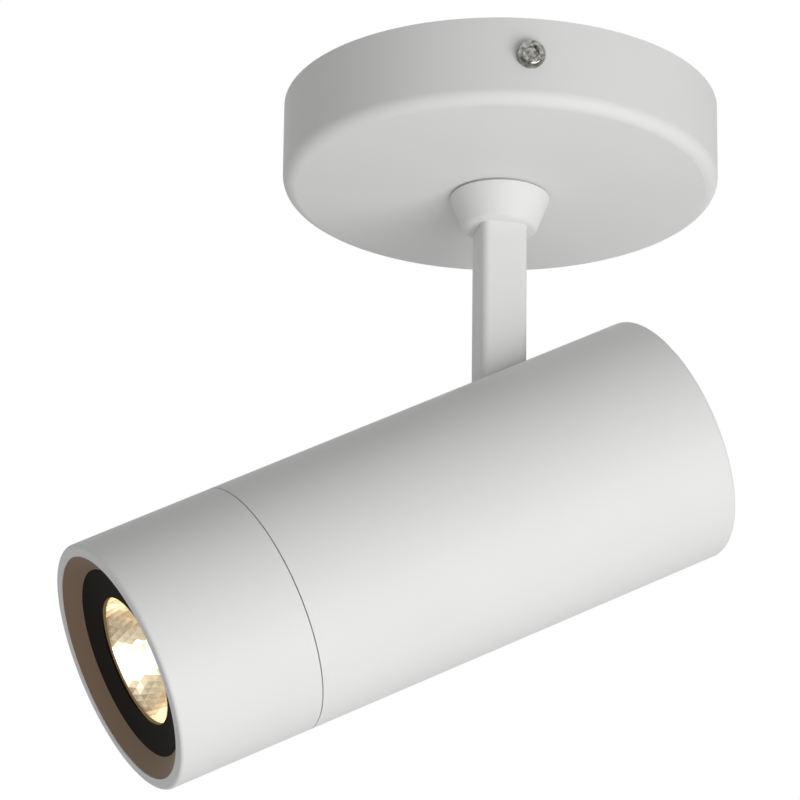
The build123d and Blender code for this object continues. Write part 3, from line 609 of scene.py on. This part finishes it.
# %% Side screw outlines
screw_low, screw_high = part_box("canopy_screws")
canopy_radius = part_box("canopy_cover")[1][1]
screw_height = (screw_low[2] + screw_high[2]) / 2
head_radius = (screw_high[2] - screw_low[2]) / 2
head_height = screw_high[1] - canopy_radius
shank_radius = 2.0 * mm
shank_length = 8.0 * mm
key_width = 3.0 * mm
key_depth = 1.6 * mm
drill_point_radius = 0.2 * mm
drill_point_depth = 0.4 * mm
knurl_count = 36
knurl_depth = 0.16 * mm
steps_round = knurl_count * 6


def knurled(angle):
    """Radius of the head's side, a zigzag between the knurl's crests and grooves."""
    phase = angle * knurl_count / (2 * math.pi) % 1
    return head_radius - knurl_depth * abs(2 * phase - 1)


def hexagonal(angle):
    """Radius of the key's socket, whose flats are half the key's width from the middle."""
    return key_width / 2 / math.cos(angle % (math.pi / 3) - math.pi / 6)


print("screw head:", round(2 * head_radius / mm, 2), "mm wide,", round(head_height / mm, 2), "mm high")

# %% [markdown]
# The thread below the head is drawn as rings of the real pitch. A true helix can't be told from rings at
# this size, and rings need no seam.

# %% Side screws
thread_pitch = 0.7 * mm
thread_depth = 0.38 * mm
screw_rings = []
thread_turns = int(shank_length / thread_pitch)
for turn in range(thread_turns):
    height = -shank_length + turn * thread_pitch
    screw_rings.append(circle(shank_radius - thread_depth, height, steps_round))
    screw_rings.append(circle(shank_radius, height + thread_pitch / 2, steps_round))
edge = 0.25 * mm
lead_in = 0.12 * mm
shoulder = 0.9 * mm
shoulder_radius = head_radius - knurl_depth - shoulder
dome = 0.15 * mm
screw_rings += [
    circle(shank_radius, 0, steps_round),
    circle(head_radius - knurl_depth, 0, steps_round),
    circle(knurled, edge / 2, steps_round),
    circle(knurled, head_height - dome - shoulder, steps_round),
]
shoulder_steps = 6
for part in range(1, shoulder_steps + 1):
    lean = math.pi / 2 * part / shoulder_steps
    height = head_height - dome - shoulder * (1 - math.sin(lean))
    screw_rings.append(circle(shoulder_radius + shoulder * math.cos(lean), height, steps_round))
screw_rings += [
    circle(lambda angle: hexagonal(angle) + lead_in, head_height, steps_round),
    circle(hexagonal, head_height - lead_in, steps_round),
    circle(hexagonal, head_height - key_depth, steps_round),
    circle(drill_point_radius, head_height - key_depth - drill_point_depth, steps_round),
]
for side, side_name in ((-1, "front"), (1, "back")):
    screw = skinned("canopy_screw_" + side_name, screw_rings, stainless_steel, crease=25)
    outward = Vector((0, side, 0)).to_track_quat("Z", "Y").to_matrix().to_4x4()
    seat = Matrix.Translation((0, side * canopy_radius, screw_height)) @ outward
    settle(screw, seat, "canopy", "bright_steel", "canopy_screws")
print("side screws:", 2, "with", len(screw_rings) * steps_round, "points each")

# %% [markdown]
# ## Swivel collar
#
# The collar under the canopy is turned from bar and rounded over at its lower edge before it is painted. The
# paint flows round that edge and makes it softer still, so it shows as a wide gradient and not as a line. Its
# section runs down the flank, round the edge, and back up through the bore that the swivel's nipple fills.

# %% Swivel collar
collar_low, collar_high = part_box("swivel_collar")
collar_top_radius = collar_high[0]
collar_foot_radius = 8.8 * mm
bore_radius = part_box("swivel_nipple")[1][0] + 0.05 * mm
soft_edge = 1.9 * mm
flank_lean = math.atan2(collar_top_radius - collar_foot_radius, collar_high[2] - collar_low[2])
edge_set_back = soft_edge * math.tan((math.pi / 2 - flank_lean) / 2)
top_edge = 0.4 * mm
top_round = 0.12 * mm
flank_inset = 0.15 * mm
collar_section = [
    (bore_radius, collar_high[2]),
    (collar_top_radius - top_edge, collar_high[2]),
    (collar_top_radius - top_round, collar_high[2] - top_round),
    (collar_top_radius - flank_inset, collar_high[2] - top_edge),
]
edge_steps = 8
for part in range(edge_steps + 1):
    lean = flank_lean + (math.pi / 2 - flank_lean) * part / edge_steps
    radius = collar_foot_radius - edge_set_back + soft_edge * math.cos(lean)
    collar_section.append((radius, collar_low[2] + soft_edge * (1 - math.sin(lean))))
collar_section.append((bore_radius, collar_low[2]))
collar_rings = [circle(radius, height, 128) for radius, height in collar_section]
collar = skinned("swivel_cone", collar_rings, white_powder_coat, ring_shaped=True, crease=30)
settle(collar, Matrix(), "stem", "coated_steel", "swivel_collar")
print("collar flank leans", round(math.degrees(flank_lean), 1), "degrees")

# %% [markdown]
# ## Reflector
#
# The bowl is spun from sheet and pressed over a faceted mandrel. Facets break the image of the source into
# many small ones, which is why the patches of light in the bowl have a toothed edge. Each ring of points is
# turned half a step from the last, and the skin between two rings is made of triangles, so every facet is
# flat. The crease angle is zero, and every facet keeps its own flat shade. Half turns need an even number of
# rings to close, so an odd section gets one more point in its last stretch.

# %% Reflector
bowl_back, bowl_front, rim_reach = along_head("reflector")
rim_width = 1.8 * mm
rim_edge = 0.2 * mm
sheet = 0.8 * mm
neck_radius = 7.2 * mm
mouth_radius = rim_reach - rim_width
facet_rows = 14
facet_count = 48
bulge = 0.38


def bowl(share):
    """Radius of the bowl's inside at a share of its depth, fuller than a cone by the bulge."""
    return neck_radius + (mouth_radius - neck_radius) * ((1 + bulge) * share - bulge * share**2)


shares = [row / facet_rows for row in range(facet_rows + 1)]
inside = [(bowl(share), bowl_back + (bowl_front - bowl_back) * share) for share in shares]
behind_rim = bowl_front - 1.5 * sheet
outside = [(radius + sheet, height) for radius, height in reversed(inside) if height < behind_rim]
rim = [
    (rim_reach - rim_edge, bowl_front),
    (rim_reach, bowl_front - sheet / 2),
    (rim_reach, bowl_front - sheet),
    (mouth_radius + sheet, bowl_front - sheet),
]
section = inside + rim + outside
if len(section) % 2:
    section.append(((section[-1][0] + section[0][0]) / 2, section[-1][1]))
bowl_rings = []
for row, (radius, height) in enumerate(section):
    bowl_rings.append(circle(radius, height, facet_count, turn=0.5 * (row % 2)))
reflector = skinned(
    "reflector_bowl", bowl_rings, bright_anodised_aluminium, ring_shaped=True, triangles=True, crease=0
)
settle(reflector, head_place, "head", "reflector_aluminium", "reflector")
print("facets inside:", 2 * facet_rows * facet_count)

# %% [markdown]
# ## Light source
#
# A round light source is a small ceramic plate with a low ring of white silicone on it. The ring is a dam:
# the phosphor is poured into it as a liquid and sets slightly domed. Only the phosphor glows.

# %% Light source
chip_back, chip_front, chip_reach = along_head("led_chip")
plate_front = chip_back + 0.5 * (chip_front - chip_back)
plate_half = 0.70 * chip_reach
plate_corner = 0.4 * mm
dam_inner = 0.60 * chip_reach
dam_outer = dam_inner + 0.4 * mm
dam_edge = 0.1 * mm
dam_steps = 64
pool_radius = dam_inner - 0.01 * mm
white_ceramic = moulded("white_ceramic", "EFEDE6", "E4E1D8", 0.45, grain=0.2 * mm, depth=0.003 * mm)


def rounded(width, length, corner, height, middle=(0, 0), arc=5):
    """One outline of a plate with rounded corners."""
    outline = []
    for quarter, (x_side, y_side) in enumerate(((1, 1), (-1, 1), (-1, -1), (1, -1))):
        for step in range(arc + 1):
            angle = math.pi / 2 * (quarter + step / arc)
            x = middle[0] + x_side * (width / 2 - corner) + corner * math.cos(angle)
            y = middle[1] + y_side * (length / 2 - corner) + corner * math.sin(angle)
            outline.append((x, y, height))
    return outline


plate_rings = []
for height in (chip_back, plate_front):
    plate_rings.append(rounded(2 * plate_half, 2 * plate_half, plate_corner, height))
source_plate = skinned("source_plate", plate_rings, white_ceramic)
dam_section = (
    (dam_inner, plate_front),
    (dam_outer, plate_front),
    (dam_outer, chip_front - dam_edge),
    ((dam_inner + dam_outer) / 2, chip_front),
    (dam_inner, chip_front - dam_edge),
)
dam_rings = [circle(radius, height, dam_steps) for radius, height in dam_section]
source_dam = skinned("source_dam", dam_rings, white_ceramic, ring_shaped=True)
pool_rings = [circle(pool_radius, plate_front, dam_steps)]
for share in (1.0, 0.8, 0.55, 0.3, 0.08):
    pool_height = plate_front + (chip_front - plate_front) * (0.9 - 0.3 * share**2)
    pool_rings.append(circle(pool_radius * share, pool_height, dam_steps))
source_phosphor = skinned("source_phosphor", pool_rings, phosphor_glow)
for part in (source_plate, source_dam, source_phosphor):
    settle(part, head_place, "head", "phosphor", "led_chip")
print("phosphor:", round(2 * dam_inner / mm, 1), "mm across")

# %% [markdown]
# ## Driver
#
# The driver is a moulded tub with a lid that snaps into it. The seam between them runs round the case as a
# shallow groove, and the lid has a raised field where a label would go. All of it is rounded outlines of
# slightly different size, one above another.

# %% Driver
driver_low, driver_high = (Vector(corner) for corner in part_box("led_driver"))
driver_middle = (driver_low + driver_high) / 2
driver_wide, driver_long, driver_tall = driver_high - driver_low
draft = 0.5 * mm
foot_edge = 0.8 * mm
seam_foot = 0.66 * driver_tall
seam_head = 0.69 * driver_tall
seam_depth = 0.35 * mm
lid_face = driver_tall - 0.4 * mm
field_margin = 3.0 * mm
case_corner = 1.5 * mm
sharpest_corner = 0.4 * mm
case_section = (
    (0, foot_edge),
    (0.6 * mm, draft),
    (seam_foot, 0),
    (seam_foot, seam_depth),
    (seam_head, seam_depth),
    (seam_head, 0),
    (driver_tall - 1.6 * mm, 0),
    (driver_tall - 0.9 * mm, 0.25 * mm),
    (lid_face, 1.0 * mm),
    (lid_face, field_margin),
    (driver_tall, field_margin + 0.3 * mm),
)
case_rings = []
for height, inset in case_section:
    corner = max(case_corner - inset / 2, sharpest_corner)
    case_rings.append(rounded(driver_wide - 2 * inset, driver_long - 2 * inset, corner, height))
driver_case = skinned("driver_case", case_rings, white_polycarbonate)
driver_seat = Matrix.Translation((driver_middle.x, driver_middle.y, driver_low.z))
settle(driver_case, driver_seat, "canopy", "driver_case", "led_driver")
print("driver case:", [round(value / mm, 1) for value in (driver_wide, driver_long, driver_tall)])

# %% [markdown]
# ## Terminal block
#
# A pillar terminal block is moulded round its brass tubes: one body for each pole, thin webs between the
# bodies so that poles can be cut off, and over each screw a round chimney that guides the screwdriver. The
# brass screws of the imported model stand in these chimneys.

# %% Terminal block
block_low, block_high = (Vector(corner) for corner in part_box("terminal_block"))
post_low, post_high = (Vector(corner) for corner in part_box("terminal_screws"))
block_middle = (block_low + block_high) / 2
post_radius = 1.6 * mm
pole_pitch = (post_high.y - post_low.y) / 2 - post_radius
chimney_pitch = post_high.x - post_low.x - 2 * post_radius
chimney_radius = chimney_pitch / 2 - 0.3 * mm
bore = post_radius + 0.1 * mm
chimney_edge = 0.3 * mm
body_top = post_low.z + 0.4 * mm
chimney_foot = body_top - 0.6 * mm
block_wide = block_high.x - block_low.x
pole_long = 7.6 * mm
block_corner = 0.8 * mm
pole_section = (
    (block_low.z, 0.4 * mm),
    (block_low.z + 0.5 * mm, 0),
    (body_top - 1.5 * mm, 0),
    (body_top, 1.2 * mm),
)
chimney_section = (
    (bore, chimney_foot),
    (chimney_radius, chimney_foot),
    (chimney_radius - 0.2 * mm, block_high.z - chimney_edge),
    (chimney_radius - 0.5 * mm, block_high.z),
    (bore + chimney_edge, block_high.z),
    (bore, block_high.z - chimney_edge),
)
chimney_rings = [circle(radius, height, 40) for radius, height in chimney_section]
web_low = block_low.z + 0.8 * mm
web_high = block_low.z + 4.5 * mm
web_wide = block_wide - 5 * mm
block_pieces = []
for pole in (-1, 0, 1):
    middle = (block_middle.x, block_middle.y + pole * pole_pitch)
    pole_rings = []
    for height, inset in pole_section:
        size = (block_wide - 2 * inset, pole_long - 2 * inset)
        pole_rings.append(rounded(*size, block_corner, height, middle))
    block_pieces.append(skinned("terminal_pole_%d" % (pole + 2), pole_rings, cream_polyamide))
    for side, side_name in ((-1, "left"), (1, "right")):
        label = "terminal_chimney_%d_%s" % (pole + 2, side_name)
        chimney = skinned(label, chimney_rings, cream_polyamide, ring_shaped=True)
        chimney_seat = Matrix.Translation((middle[0] + side * chimney_pitch / 2, middle[1], 0))
        settle(chimney, chimney_seat, "canopy", "terminal_plastic", "terminal_block")
web_rings = []
for height in (web_low, web_high):
    size = (web_wide, block_high.y - block_low.y)
    web_rings.append(rounded(*size, block_corner, height, block_middle.xy))
block_pieces.append(skinned("terminal_web", web_rings, cream_polyamide))
for block_piece in block_pieces:
    settle(block_piece, Matrix(), "canopy", "terminal_plastic", "terminal_block")
print("terminal block: 3 poles,", round(pole_pitch / mm, 1), "mm apart")
